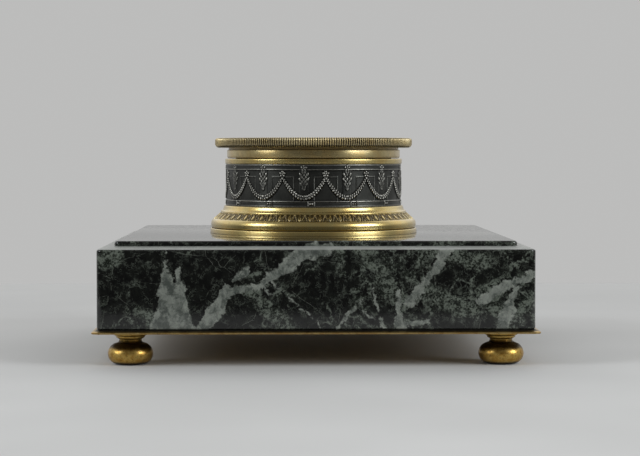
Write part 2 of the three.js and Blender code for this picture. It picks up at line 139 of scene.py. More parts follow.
class Shader(Nodes):
    """A Principled material, with textures whose sizes are in millimetres."""

    def __init__(self, name, slot=None):
        self.material = bpy.data.materials.new(name)
        self.material.use_nodes = True
        if slot:
            self.material["slot"] = slot
        super().__init__(self.material.node_tree)
        self.surface = self.tree.nodes["Principled BSDF"]
        place = self.node("ShaderNodeTexCoord").outputs["Object"]
        self.point = self.vector_math("SCALE", place, 1 / MM)

    def set(self, **inputs):
        for key, value in inputs.items():
            self.feed(self.surface.inputs[key.replace("_", " ")], value)

    def vector(self, x, y, z):
        return self.node("ShaderNodeCombineXYZ", {0: x, 1: y, 2: z}).outputs[0]

    def noise(self, size, detail=3.0, roughness=0.55, vector=None, output="Fac"):
        """Noise whose features are about size millimetres across."""
        inputs = {
            "Vector": vector or self.point,
            "Scale": 1 / size,
            "Detail": detail,
            "Roughness": roughness,
        }
        return self.node("ShaderNodeTexNoise", inputs).outputs[output]

    def cells(self, size, feature="F1", vector=None):
        """Distance to the nearest cell's point or edge, for cells about size millimetres across."""
        inputs = {"Vector": vector or self.point, "Scale": 1 / size}
        return self.node("ShaderNodeTexVoronoi", inputs, feature=feature).outputs["Distance"]

    def mix(self, share, a, b):
        made = self.node("ShaderNodeMix", data_type="RGBA")
        for index, value in ((0, share), (6, rgba(a)), (7, rgba(b))):
            self.feed(made.inputs[index], value)
        return made.outputs[2]

    def fade(self, value, low, high, a, b):
        """Colour a where value is below low, b where it is above high."""
        return self.mix(self.ramp(value, low, high), a, b)

    def bump(self, height, depth, strength, after=None):
        inputs = {"Height": height, "Distance": depth * MM, "Strength": strength}
        if after:
            inputs["Normal"] = after
        return self.node("ShaderNodeBump", inputs).outputs[0]

    def length(self, x, y):
        return self.math("SQRT", self.math("ADD", self.times(x, x), self.times(y, y)))

    def attribute(self, name):
        return self.node("ShaderNodeAttribute", attribute_name=name).outputs["Fac"]

    def facing_up(self, low, high):
        """0 to 1 as the surface's upward slope goes from low to high."""
        normal = self.node("ShaderNodeNewGeometry").outputs["Normal"]
        return self.ramp(self.axes(normal)["Z"], low, high)

    def hollows(self, reach):
        """1 in corners and crevices within reach millimetres, 0 on open surfaces, from ambient
        occlusion: the metals use it to paint shade.
        """
        inputs = {"Distance": reach * MM}
        open_share = self.node("ShaderNodeAmbientOcclusion", inputs, samples=6).outputs["AO"]
        return self.ramp(open_share, 0.25, 0.85, 1.0, 0.0)

    def metal(self, dark, clean, dull, roughness, rougher):
        """Metal that is clean where dark is 0, and dull and rougher where it is 1; dark also carries
        painted shade where a caller puts it in.
        """
        self.set(Base_Color=self.mix(dark, clean, dull), Metallic=1.0)
        self.set(Roughness=self.scale_add(dark, rougher, roughness))


def rgba(colour):
    return (*colour, 1.0) if isinstance(colour, tuple) and len(colour) == 3 else colour


# ---- Metal, stone and porcelain ----


def turned_lines(shader, spacing):
    """Fine lines left by a lathe: they run round the drum's axis."""
    x, y, z = shader.axes(shader.point)
    along = shader.scale_add(z, 1.3, shader.length(x, y))
    return shader.noise(spacing, detail=2.0, vector=shader.vector(along, 0.0, 0.0))


def brass(name, slot, bright, tarnish_and_shade, roughness, tarnish=0.5, crevice=1.6, relief=None):
    """Satin brass: cloudy tarnish, painted shade in crevices, tarnish and painted shade in the relief's
    grooves, lathe lines, small pits and scratches.
    """
    shader = Shader(name, slot)
    clouds = shader.noise(9.0, detail=6.0, roughness=0.62)
    specks = shader.noise(0.9, detail=4.0, roughness=0.7)
    cloudy = shader.ramp(shader.scale_add(specks, 0.45, clouds), 0.66, 1.0)
    # Painted shade: ambient occlusion darkens the crevices with the tarnish colour.
    crevice_shade = shader.hollows(crevice)
    dark = shader.larger(shader.times(cloudy, tarnish), crevice_shade)
    if relief:
        # Tarnish and painted shade: the relief value darkens the grooves and the engraving.
        sunk = shader.ramp(shader.attribute(relief), 0.25, 0.95, 1.0, 0.0)
        dark = shader.larger(dark, sunk)
    warm = tuple(c * k for c, k in zip(bright, (1.06, 0.97, 0.82)))
    face = shader.fade(shader.noise(4.0, detail=5.0), 0.4, 0.66, bright, warm)
    rough = shader.scale_add(shader.noise(0.35, detail=2.0), 0.10, roughness - 0.05)
    shader.metal(dark, face, tarnish_and_shade, rough, 0.22)
    shader.set(Coat_Weight=0.6, Coat_Roughness=0.25, Coat_IOR=1.9)
    pits = shader.ramp(shader.cells(0.55), 0.05, 0.22)
    pitted = shader.bump(pits, 0.012, 0.5)
    scratched = shader.bump(turned_lines(shader, 0.25), 0.006, 0.7, after=pitted)
    shader.set(Normal=shader.bump(clouds, 0.05, 0.5, after=scratched))
    return shader.material


def dark_relief_metal():
    """Oxidised casting, near black in the hollows and silvery where hands have polished it."""
    shader = Shader("oxidised_relief", "dark_relief")
    height = shader.attribute("relief")
    grain = shader.noise(0.5, detail=5.0, roughness=0.7)
    clouds = shader.noise(6.0, detail=4.0)
    rubbed = shader.ramp(shader.scale_add(grain, 0.5, height), 0.70, 1.30)
    ground = shader.fade(clouds, 0.35, 0.65, (0.032, 0.033, 0.030), (0.052, 0.053, 0.048))
    deep = shader.ramp(height, 0.10, 0.34, 1.0, 0.0)
    shaded = shader.mix(deep, ground, (0.008, 0.008, 0.007))
    shader.set(Base_Color=shader.mix(rubbed, shaded, (0.42, 0.41, 0.37)), Metallic=0.9)
    shader.set(Roughness=shader.scale_add(rubbed, -0.10, 0.42))
    shader.set(Normal=shader.bump(grain, 0.03, 0.6))
    return shader.material


def foot_metal():
    """Antique brass: gold at the widest line, with dark streaks, and black-brown painted shade over the
    top of the bun and the neck, under the plate.
    """
    shader = Shader("antique_foot_brass", "foot_brass")
    _, _, z = shader.axes(shader.point)
    blotches = shader.noise(1.6, detail=6.0, roughness=0.7)
    high = shader.scale_add(blotches, 2.2, z)
    # Painted shade: darker with height over the bun's top and the neck, for the shade and dark
    # reflection under the plate, and lifted again at the flange.
    upper = shader.ramp(high, 5.0, 7.0, 0.0, 0.92)
    flange = shader.ramp(high, 8.3, 9.8, 0.0, 0.85)
    # Ambient occlusion adds painted shade in the crevices.
    painted_shade = shader.larger(shader.math("SUBTRACT", upper, flange), shader.hollows(1.6))
    streaks = shader.ramp(shader.noise(0.7, detail=5.0, roughness=0.75), 0.5, 0.68, 0.0, 0.6)
    dark = shader.larger(painted_shade, streaks)
    gold = shader.fade(blotches, 0.42, 0.6, (0.58, 0.39, 0.11), (0.44, 0.25, 0.055))
    shader.metal(dark, gold, (0.020, 0.014, 0.008), 0.30, 0.16)
    uneven = shader.bump(blotches, 0.10, 0.7)
    shader.set(Normal=shader.bump(shader.noise(0.3, detail=3.0), 0.02, 0.7, after=uneven))
    return shader.material


def plate_metal():
    """Bronze sheet: golden along its lip and brown-black on the slope under the marble."""
    shader = Shader("antique_plate_bronze", "plate_brass")
    _, _, z = shader.axes(shader.point)
    blotches = shader.noise(2.4, detail=6.0, roughness=0.7)
    height = shader.scale_add(blotches, 0.5, z)
    slope = shader.ramp(height, PLATE_BOTTOM + 0.85, PLATE_BOTTOM + 1.25)
    spots = shader.ramp(shader.noise(0.8, detail=4.0, roughness=0.75), 0.54, 0.7, 0.0, 0.7)
    dark = shader.larger(slope, spots)
    gold = shader.fade(blotches, 0.4, 0.62, (0.46, 0.33, 0.13), (0.34, 0.21, 0.07))
    shader.metal(dark, gold, (0.050, 0.044, 0.036), 0.33, 0.15)
    shader.set(Normal=shader.bump(blotches, 0.06, 0.6))
    return shader.material


def steel():
    """Old screws and nuts: dull grey steel with brown spots, and painted shade in their crevices."""
    shader = Shader("aged_steel", "fixing_steel")
    stains = shader.ramp(shader.noise(1.4, detail=6.0, roughness=0.7), 0.5, 0.68)
    # Painted shade: ambient occlusion darkens crevices with the brown spot colour.
    dark = shader.larger(shader.times(stains, 0.8), shader.hollows(0.7))
    shader.metal(dark, (0.36, 0.34, 0.31), (0.07, 0.045, 0.03), 0.34, 0.25)
    shader.set(Normal=shader.bump(shader.noise(0.25, detail=3.0), 0.02, 0.7))
    return shader.material


def porcelain():
    """White glaze with a warm cast, fine crazing, and ink stains down in the pot."""
    shader = Shader("white_porcelain", "porcelain")
    x, y, z = shader.axes(shader.point)
    inside = shader.ramp(shader.length(x, y), POT_INNER + 0.2, POT_INNER + 0.5, 1.0, 0.0)
    tide = shader.scale_add(shader.noise(3.0, detail=5.0), 5.0, z)
    below_tide = shader.ramp(tide, POT_BOTTOM + 6.5, POT_BOTTOM + 11.0, 0.9, 0.0)
    inked = shader.times(inside, below_tide)
    crazing = shader.ramp(shader.cells(1.8, feature="DISTANCE_TO_EDGE"), 0.0, 0.03, 0.25, 0.0)
    glaze = shader.mix(crazing, (0.80, 0.79, 0.74), (0.52, 0.47, 0.38))
    shader.set(Base_Color=shader.mix(inked, glaze, (0.012, 0.016, 0.045)))
    shader.set(Roughness=shader.scale_add(inked, 0.25, 0.10), Coat_Weight=0.5)
    shader.set(Normal=shader.bump(shader.noise(5.0), 0.05, 0.5))
    return shader.material


# Pale seams that cross the front face: start and end as (across, height), and the half width
# at each. Each one is a sheet of calcite that runs back through the slab.
CALCITE_SEAMS = (
    ((-45.5, 11.0), (-46.5, 25.0), 7.4, 3.4),
    ((-46.5, 25.0), (-47.5, 31.0), 2.8, 0.9),
    ((-43.5, 25.0), (-44.0, 31.5), 1.6, 0.6),
    ((-47.5, 31.0), (-48.5, 39.0), 0.4, 0.1),
    ((-37.0, 11.0), (-28.0, 24.0), 2.0, 2.2),
    ((-28.0, 24.0), (-19.0, 25.5), 1.9, 0.6),
    ((-19.0, 25.5), (-11.0, 31.5), 0.7, 1.7),
    ((-11.0, 31.5), (-4.0, 36.5), 1.7, 2.5),
    ((-4.0, 36.5), (4.0, 37.0), 2.5, 1.2),
    ((-25.5, 28.5), (-22.5, 30.5), 1.3, 1.5),
    ((-14.5, 27.0), (3.0, 12.0), 0.25, 0.2),
    ((-17.0, 26.0), (-10.5, 20.5), 0.3, 0.2),
    ((15.4, 27.0), (15.0, 21.5), 0.3, 0.8),
    ((15.0, 21.5), (6.5, 11.5), 1.0, 0.5),
    ((14.5, 19.5), (21.0, 12.5), 0.35, 0.25),
    ((18.0, 25.0), (21.0, 13.0), 0.3, 0.25),
    ((29.5, 20.5), (36.0, 28.5), 1.7, 0.9),
    ((36.0, 28.5), (41.0, 36.5), 0.9, 1.8),
    ((26.0, 23.5), (27.0, 11.5), 0.5, 1.6),
    ((27.0, 13.5), (36.0, 14.5), 1.2, 0.5),
    ((52.0, 20.5), (60.0, 26.0), 1.2, 1.7),
    ((60.0, 26.0), (69.0, 30.0), 1.7, 1.2),
    ((64.5, 27.0), (59.0, 12.0), 0.8, 2.2),
)

# Patches of pale green rubble, in the same form.
RUBBLE_SEAMS = (
    ((-22.0, 25.0), (-9.0, 12.5), 1.6, 2.4),
    ((-68.0, 34.0), (-64.0, 36.0), 3.0, 3.0),
    ((-52.0, 14.0), (-56.0, 18.0), 1.8, 1.2),
    ((7.5, 30.5), (7.0, 38.0), 1.2, 2.0),
    ((14.0, 38.0), (20.0, 33.0), 3.4, 2.8),
    ((20.0, 27.5), (27.0, 21.0), 2.2, 2.0),
    ((36.0, 24.0), (48.0, 17.5), 2.6, 2.6),
    ((38.0, 37.0), (54.0, 33.5), 2.6, 2.2),
    ((54.0, 24.0), (58.0, 17.0), 3.2, 2.4),
    ((62.0, 13.0), (68.0, 22.0), 1.6, 1.4),
)

SEAM_LEAN = 0.35                # how far a seam moves sideways for each mm it runs back


def seam_group():
    """A node group: how far a point is from a seam's edge in mm, negative inside."""
    tree = bpy.data.node_groups.new("seam_distance", "ShaderNodeTree")
    sockets = (
        ("Point", "NodeSocketVector"),
        ("Start", "NodeSocketVector"),
        ("Along", "NodeSocketVector"),
        ("Inverse", "NodeSocketFloat"),
        ("Half width", "NodeSocketFloat"),
        ("Growth", "NodeSocketFloat"),
    )
    for name, kind in sockets:
        tree.interface.new_socket(name, in_out="INPUT", socket_type=kind)
    tree.interface.new_socket("Distance", in_out="OUTPUT", socket_type="NodeSocketFloat")
    given = tree.nodes.new("NodeGroupInput").outputs
    result = tree.nodes.new("NodeGroupOutput").inputs[0]

    nodes = Nodes(tree)
    offset = nodes.vector_math("SUBTRACT", given["Point"], given["Start"])
    reach = nodes.vector_math("DOT_PRODUCT", offset, given["Along"])
    share = nodes.math("MULTIPLY", reach, given["Inverse"], clamp=True)
    away = nodes.vector_math("DISTANCE", offset, nodes.vector_math("SCALE", given["Along"], share))
    half_width = nodes.scale_add(share, given["Growth"], given["Half width"])
    nodes.feed(result, nodes.math("SUBTRACT", away, half_width))
    return tree


def seam_distance(shader, group, point, seams):
    """Distance to the nearest of these seams, in mm."""
    nearest = None
    for start, end, first_half, last_half in seams:
        along = Vector((end[0] - start[0], end[1] - start[1], 0.0))
        inputs = {
            "Point": point,
            "Start": (*start, 0.0),
            "Along": along,
            "Inverse": 1 / along.length_squared,
            "Half width": first_half,
            "Growth": last_half - first_half,
        }
        distance = shader.node("ShaderNodeGroup", inputs, node_tree=group).outputs[0]
        nearest = shader.math("MINIMUM", nearest, distance) if nearest else distance
    return nearest


def shifted(shader, point, size, amount):
    """point moved by up to about half of amount, by noise of that size."""
    swirl = shader.noise(size, output="Color")
    centred = shader.vector_math("SUBTRACT", swirl, (0.5, 0.5, 0.5))
    return shader.vector_math("ADD", point, shader.vector_math("SCALE", centred, amount))


def dark_ground(shader, rock, clumps):
    """Black-green ground with short pale flecks."""
    ground = shader.fade(clumps, 0.4, 0.62, (0.0012, 0.0014, 0.0012), (0.0055, 0.0065, 0.0050))
    fibres = shader.noise(1.5, roughness=0.6, vector=rock)
    strands = shader.math("ABSOLUTE", shader.math("SUBTRACT", fibres, 0.5))
    flecks = shader.times(
        shader.ramp(strands, 0.0, 0.05, 0.75, 0.0),
        shader.ramp(shader.noise(2.8, detail=5.0), 0.46, 0.60),
    )
    return shader.mix(flecks, ground, (0.075, 0.086, 0.070))


def vein_net(shader, rock, across):
    """1 on a net of large and small veins, which thins out towards the left."""
    thinner_left = shader.ramp(across, -40.0, 35.0, -0.13, 0.02)
    rich = shader.math("ADD", shader.noise(17.0, detail=2.0), thinner_left)
    edges = shader.cells(6.5, feature="DISTANCE_TO_EDGE", vector=rock)
    small_edges = shader.cells(2.4, feature="DISTANCE_TO_EDGE", vector=rock)
    veined = shader.times(shader.ramp(edges, 0.02, 0.10, 1.0, 0.0), shader.ramp(rich, 0.38, 0.52))
    crackled = shader.times(
        shader.ramp(small_edges, 0.0, 0.13, 1.0, 0.0),
        shader.ramp(rich, 0.48, 0.60),
    )
    net = shader.larger(veined, shader.times(crackled, 0.6))
    return shader.times(net, shader.ramp(shader.noise(2.6, detail=4.0), 0.36, 0.50))


def calcite_veins(shader, stone, rock, calcite, grain, clumps):
    """Lays the cloudy calcite of the seams over the stone, with ragged, paler edges."""
    cloudy = shader.noise(3.0, detail=6.0, roughness=0.65, vector=rock)
    milk = shader.fade(cloudy, 0.36, 0.66, (0.065, 0.074, 0.065), (0.235, 0.252, 0.222))
    rim = shader.times(shader.ramp(calcite, -1.2, 0.0, 0.0, 0.5), shader.ramp(grain, 0.5, 0.6))
    milk = shader.mix(rim, milk, (0.36, 0.38, 0.33))
    ragged = shader.scale_add(shader.math("SUBTRACT", cloudy, 0.5), -2.2, calcite)
    inside = shader.ramp(ragged, -0.25, 0.35, 1.0, 0.0)
    return shader.mix(shader.times(inside, shader.ramp(clumps, 0.26, 0.38)), stone, milk)


def hair_cracks(shader, stone, clumps):
    """Lays straight pale hairlines over the stone."""
    bent = shifted(shader, shader.point, 4.0, 1.5)
    hairs = shader.cells(12.0, feature="DISTANCE_TO_EDGE", vector=bent)
    in_hair = shader.times(shader.ramp(hairs, 0.0, 0.009, 0.4, 0.0), shader.ramp(clumps, 0.46, 0.58))
    return shader.mix(in_hair, stone, (0.24, 0.26, 0.22))


def marble():
    """Dark green breccia: black-green ground, pale rubble, a net of veins and calcite seams."""
    shader = Shader("veined_green_marble", "green_marble")
    x, y, z = shader.axes(shader.point)
    across = shader.scale_add(shader.math("ADD", y, SLAB_HALF), -SEAM_LEAN, x)
    on_face = shader.vector(across, z, 0.0)
    rock = shader.point
    for size, amount in ((9.0, 4.5), (2.6, 2.4), (0.9, 1.5)):
        on_face = shifted(shader, on_face, size, amount)
        rock = shifted(shader, rock, size, amount * 1.2)
    group = seam_group()
    calcite = seam_distance(shader, group, on_face, CALCITE_SEAMS)
    rubble = seam_distance(shader, group, on_face, RUBBLE_SEAMS)

    grain = shader.noise(0.6, detail=4.0, roughness=0.75)
    clumps = shader.noise(5.0, detail=6.0, roughness=0.7, vector=rock)
    ground = dark_ground(shader, rock, clumps)
    mottled = shader.scale_add(shader.noise(2.4), 0.9, grain)
    green = shader.fade(mottled, 0.82, 1.10, (0.010, 0.013, 0.009), (0.132, 0.150, 0.124))
    ground = shader.mix(vein_net(shader, rock, across), ground, green)

    broken = shader.scale_add(shader.math("SUBTRACT", clumps, 0.5), 9.0, rubble)
    holes = shader.ramp(shader.noise(2.1, detail=4.0, vector=rock), 0.37, 0.47, 0.15, 1.0)
    in_rubble = shader.times(shader.ramp(broken, -0.6, 0.8, 1.0, 0.0), holes)
    stone = shader.mix(in_rubble, ground, green)
    stone = calcite_veins(shader, stone, rock, calcite, grain, clumps)
    stone = hair_cracks(shader, stone, clumps)

    # Painted reflection: the upward-facing ledge below the tier is painted pale grey, for the bright
    # grazing reflection along it, and made rougher.
    low_down = shader.ramp(z, LEDGE_TOP, LEDGE_TOP + 0.15, 1.0, 0.0)
    ledge_painted_sheen = shader.times(low_down, shader.facing_up(0.90, 0.97))
    ledge_sheen_grey = shader.fade(clumps, 0.3, 0.7, (0.24, 0.25, 0.235), (0.32, 0.33, 0.31))
    shader.set(Base_Color=shader.mix(ledge_painted_sheen, stone, ledge_sheen_grey), IOR=1.5)
    polish = shader.ramp(shader.noise(2.0, detail=4.0), 0.3, 0.7, 0.06, 0.12)
    shader.set(Roughness=shader.scale_add(ledge_painted_sheen, 0.34, polish))
    shader.set(Normal=shader.bump(shader.noise(12.0, detail=2.0), 0.02, 0.3))
    return shader.material


# ---- Mesh helpers ----


SHARP_DEGREES = 32.0            # edges that turn by more than this are shaded sharp


def make_mesh(
    name, points, faces, material, body, replaced=(), values=None, sharp=SHARP_DEGREES,
):
    """An object from points in mm, riding on a body and standing for CAD nodes."""
    mesh = bpy.data.meshes.new(name)
    mesh.from_pydata((np.asarray(points) * MM).tolist(), [], faces)
    mesh.polygons.foreach_set("use_smooth", [True] * len(mesh.polygons))
    mesh.set_sharp_from_angle(angle=math.radians(sharp))
    for key, per_point in (values or {}).items():
        mesh.attributes.new(key, "FLOAT", "POINT").data.foreach_set("value", per_point)
    mesh.materials.append(material)
    piece = bpy.data.objects.new(name, mesh)
    bpy.context.scene.collection.objects.link(piece)
    if body:
        settle(piece, body, *replaced)
    return piece


def settle(piece, body, *replaced):
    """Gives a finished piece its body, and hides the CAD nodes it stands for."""
    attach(piece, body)
    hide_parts(*replaced)


def eased(profile, size=0.15, steps=3, closed=False):
    """The profile with each corner rounded off over size mm."""
    points = [Vector(p) for p in profile]
    count = len(points)
    result = []
    for i, corner in enumerate(points):
        if not closed and i in (0, count - 1):
            result.append(corner)
            continue
        before, after = points[i - 1], points[(i + 1) % count]
        reach = min(size, (corner - before).length * 0.45, (corner - after).length * 0.45)
        start = corner + (before - corner).normalized() * reach
        end = corner + (after - corner).normalized() * reach
        for step in range(steps + 1):
            t = step / steps
            result.append(start * (1 - t) ** 2 + corner * 2 * t * (1 - t) + end * t ** 2)
    return [tuple(p) for p in result]


def arc(centre_radius, centre_height, radius, first, last, steps):
    """Points on an arc of the profile, angles in degrees from the outward direction."""
    angles = np.radians(np.linspace(first, last, steps + 1))
    return [(centre_radius + radius * math.cos(a), centre_height + radius * math.sin(a)) for a in angles]


def grid_faces(rows, columns, wrap_rows):
    """Quads of a grid whose columns go all the way round."""
    row = np.arange(rows if wrap_rows else rows - 1)[:, None]
    column = np.arange(columns)[None, :]
    next_row = (row + 1) % rows
    next_column = (column + 1) % columns
    corners = (
        row * columns + column,
        row * columns + next_column,
        next_row * columns + next_column,
        next_row * columns + column,
    )
    return np.stack(np.broadcast_arrays(*corners), axis=-1).reshape(-1, 4).tolist()


def lathe_shape(profile, columns=192, shape=None):
    """Points and faces of a turned piece, and what shape returns for each point.

    The profile's outside runs upwards. One that starts and ends on the axis is solid, and any
    other closes into a ring. shape(angle, radius, height) gives the moved radius and a value.
    """
    radius, height = np.array(profile, dtype=float).T
    solid = radius[0] == 0 and radius[-1] == 0
    if solid:
        poles = [(0.0, 0.0, height[0]), (0.0, 0.0, height[-1])]
        radius, height = radius[1:-1], height[1:-1]
    angle = np.linspace(0, 2 * math.pi, columns, endpoint=False)[None, :]
    radius = np.repeat(radius[:, None], columns, axis=1)
    height = np.repeat(height[:, None], columns, axis=1)
    value = np.zeros_like(radius)
    if shape:
        radius, value = shape(angle, radius, height)
    points = np.stack([radius * np.sin(angle), -radius * np.cos(angle), height], axis=-1).reshape(-1, 3)
    rows = height.shape[0]
    faces = grid_faces(rows, columns, wrap_rows=not solid)
    middles = [value[0].mean(), value[-1].mean()]
    value = value.ravel()
    if solid:
        low, high = len(points), len(points) + 1
        last = (rows - 1) * columns
        for j in range(columns):
            k = (j + 1) % columns
            faces.append([low, k, j])
            faces.append([last + j, last + k, high])
        points = np.vstack([points, poles])
        value = np.append(value, middles)
    return points, faces, value


def lathe(
    name, profile, material, body, replaced=(),
    columns=192, shape=None, value_name=None, sharp=SHARP_DEGREES, centre=(0.0, 0.0, 0.0),
):
    """A turned piece. What shape returns for each point is kept under value_name, if any."""
    points, faces, value = lathe_shape(profile, columns, shape)
    values = {value_name: value} if value_name else None
    return make_mesh(name, points + centre, faces, material, body, replaced, values, sharp)


def loft(loops):
    """Points and faces of a closed skin over loops that all have the same number of points."""
    count = len(loops[0])
    faces = grid_faces(len(loops), count, wrap_rows=False)
    faces.append(list(range(count))[::-1])
    faces.append(list(range((len(loops) - 1) * count, len(loops) * count)))
    return np.concatenate(loops), faces


def square_shape(levels):
    """Points and faces of a square block lofted through (half side, height, corner radius)."""
    per_corner = 9
    quarters = [np.linspace(start, start + 90, per_corner) for start in (0, 90, 180, 270)]
    turns = np.radians(np.concatenate(quarters))
    sign_x = np.repeat([1, -1, -1, 1], per_corner)
    sign_y = np.repeat([1, 1, -1, -1], per_corner)
    loops = []
    for half, height, corner in levels:
        x = sign_x * (half - corner) + corner * np.cos(turns)
        y = sign_y * (half - corner) + corner * np.sin(turns)
        loops.append(np.stack([x, y, np.full_like(x, height)], axis=-1))
    return loft(loops)


def combine(piece, tool, operation):
    """Joins tool to piece, or cuts it away, and removes tool."""
    modifier = piece.modifiers.new(operation, "BOOLEAN")
    modifier.object = tool
    modifier.operation = operation
    modifier.solver = "EXACT"
    evaluated = piece.evaluated_get(bpy.context.evaluated_depsgraph_get())
    mesh = bpy.data.meshes.new_from_object(evaluated)
    piece.modifiers.clear()
    piece.data = mesh
    mesh.set_sharp_from_angle(angle=math.radians(SHARP_DEGREES))
    bpy.data.objects.remove(tool)


def loose(name, shape_data, material, turn=None):
    """A mesh object that another one will take in, with an optional 4x4 turn in metres."""
    points, faces = shape_data[:2]
    tool = make_mesh(name, points, faces, material, None)
    if turn is not None:
        tool.data.transform(turn)
    return tool


# ---- Relief on the drum ----

REPEATS = 13                    # swags round the frieze
REPEAT_DEGREES = 360 / REPEATS
FIRST_JOINT = 7.0               # angle of one rosette that two swags hang from
RELIEF_RADIUS = FRIEZE_RADIUS - 0.35
COLLAR_FOOT = FRIEZE_TOP - 0.5  # the collar's bead hangs a little over the frieze's top edge
ARC_MM = math.radians(1.0) * RELIEF_RADIUS      # length of one degree round the frieze
HALF_REPEAT = REPEAT_DEGREES / 2 * ARC_MM


def around(angle, centre_degrees, period_degrees):
    """Signed distance round the frieze, in mm, from the nearest of the repeated centres."""
    degrees = np.degrees(angle) - centre_degrees
    return ((degrees + period_degrees / 2) % period_degrees - period_degrees / 2) * ARC_MM


def bulge(distance, radius):
    """A half-ball section: 1 at the middle, 0 from radius outwards."""
    return np.sqrt(np.clip(1 - (distance / radius) ** 2, 0, 1))


def step_up(value, edge, width=0.12):
    t = np.clip((value - edge) / width + 0.5, 0, 1)
    return t * t * (3 - 2 * t)


def band(value, low, high, width=0.12):
    return step_up(value, low, width) * (1 - step_up(value, high, width))


def leaf(u, z, centre_u, centre_z, length, width, tilt_degrees):
    """A pointed leaf with a sunk midrib."""
    tilt = math.radians(tilt_degrees)
    du, dz = u - centre_u, z - centre_z
    along = (du * math.sin(tilt) + dz * math.cos(tilt)) / (length / 2)
    side = du * math.cos(tilt) - dz * math.sin(tilt)
    half = width / 2 * np.clip(1 - along ** 2, 0, 1)
    body = np.where(half > 0, np.clip(1 - np.abs(side) / np.maximum(half, 1e-6), 0, 1), 0)
    return np.sqrt(body) * (1 - 0.45 * np.exp(-((side / 0.1) ** 2)))


def rosette(u, z, centre_z, radius):
    """Five round petals about a centre boss."""
    height = bulge(np.hypot(u, z - centre_z), radius * 0.27)
    for petal in range(5):
        turn = math.radians(90 + 72 * petal)
        du = u - 0.6 * radius * math.cos(turn)
        dz = z - centre_z - 0.6 * radius * math.sin(turn)
        height = np.maximum(height, 0.85 * bulge(np.hypot(du, dz), radius * 0.36))
    return height


def husk_drop(u, z):
    """A hanging cluster of small overlapping leaves, widest near its top, under each rosette."""
    top, pitch = 61.6, 0.82
    widths = (0.75, 1.15, 1.35, 1.3, 1.1, 0.85, 0.55, 0.2)
    height = np.zeros(np.broadcast(u, z).shape)
    for row, half in enumerate(widths):
        spots = (-1, 0, 1) if row % 2 else (-0.55, 0.55)
        for spot in spots:
            tilt = 30 * spot
            height = np.maximum(height, leaf(u, z, spot * half, top - row * pitch, 1.5, 0.82, tilt))
    return height


def garland(u, z):
    """A leafy swag from one joint rosette to the next, lowest half way."""
    low, sag = 52.9, 6.9
    samples = np.linspace(0, HALF_REPEAT, 200)
    curve = low + sag * (1 - samples / HALF_REPEAT) ** 2
    run = np.concatenate([[0], np.cumsum(np.hypot(np.diff(samples), np.diff(curve)))])
    across = np.abs(u)
    centre = np.interp(across, samples, curve)
    slope = np.interp(across, samples, np.gradient(curve, samples))
    along = np.interp(across, samples, run) + (z - centre) * slope / np.hypot(1, slope)
    offset = (z - centre) / np.hypot(1, slope)
    half = np.interp(across, [0, HALF_REPEAT * 0.35, HALF_REPEAT], [0.42, 0.62, 0.82])
    height = 0.45 * bulge(offset, half)
    pitch = 0.94
    for row, phase in ((-1, 0.0), (1, 0.5), (0, 0.25)):
        from_leaf = ((along / pitch + phase) % 1.0 - 0.5) * pitch
        away = np.hypot(from_leaf, offset - row * 0.55 * half)
        height = np.maximum(height, (1.0 - 0.15 * (row == 0)) * bulge(away, 0.56 * half + 0.05))
    return height * (1 - step_up(z, 59.9, 0.3))


def frieze_relief(u, pendant, block, z):
    """Height of the casting above its ground, in mm, over one or more repeats."""
    strip_low, strip_high = 51.6, 62.5
    panel_low, panel_high, panel_half = 51.9, 60.0, 3.9
    borders = np.maximum(1 - step_up(z, strip_low - 0.35), step_up(z, strip_high))
    beads = np.maximum(bulge(z - strip_low, 0.22), bulge(z - strip_high, 0.22))
    edges = np.maximum(bulge(z - MOULDING_TOP - 0.35, 0.35), bulge(z - COLLAR_FOOT + 0.2, 0.25))
    pilaster = band(np.abs(pendant), -1.0, 1.55)
    outside = np.maximum(np.abs(u) - panel_half, np.maximum(z - panel_high, panel_low - z))
    sunk = 1 - step_up(outside, -0.1)
    frame_line = bulge(outside, 0.2)
    inner_line = bulge(outside + 0.95, 0.16)
    ground = 0.16 * borders + 0.10 * pilaster * (1 - borders) - 0.14 * sunk * (1 - borders)
    ground = ground + np.maximum(0.12 * frame_line, 0.06 * inner_line) * (1 - borders)
    lines = np.maximum(beads, edges)
    ground = np.maximum(ground, 0.16 + 0.10 * lines - 0.3 * (1 - lines ** 0.2))
    bars = band(np.abs(block), 0.95, 1.22) * band(z, 50.0, 51.7)
    drops = bulge(np.hypot(np.abs(block) - 0.42, (z - 50.8) * 0.8), 0.36)
    ornament = np.maximum.reduce([
        0.50 * rosette(u, z, 61.0, 1.25),
        0.48 * rosette(pendant, z, 63.0, 1.2),
        0.46 * husk_drop(pendant, z),
        0.50 * garland(u, z),
        0.42 * bars,
        0.55 * drops,
    ])
    return np.maximum(ground, ornament - 0.02 * (ornament <= 0))


def relief_value(height):
    """0 in hollows, 1 on the proudest points: height with its surroundings taken off."""
    around_it = height.copy()
    for _ in range(4):
        around_it = (np.roll(around_it, 1, 1) + np.roll(around_it, -1, 1) + 2 * around_it) / 4
        padded = np.pad(around_it, ((1, 1), (0, 0)), mode="edge")
        around_it = (padded[:-2] + padded[2:] + 2 * around_it) / 4
    return np.clip(0.36 + 0.45 * height + 3.9 * (height - around_it), 0, 1)


def frieze_shape(angle, radius, height):
    u = around(angle, FIRST_JOINT, REPEAT_DEGREES)
    pendant = around(angle, FIRST_JOINT + REPEAT_DEGREES / 2, REPEAT_DEGREES)
    block = around(angle, FIRST_JOINT + REPEAT_DEGREES / 2 + 4.6, REPEAT_DEGREES)
    outer = radius > SHELL_INNER + 0.5
    relief = frieze_relief(u, pendant, block, height) * outer
    return radius + relief, relief_value(relief)


LEAVES = 62                     # engraved leaves round the moulding
LEAF_BAND_LOW = 45.05
LEAF_BAND_HIGH = 47.1


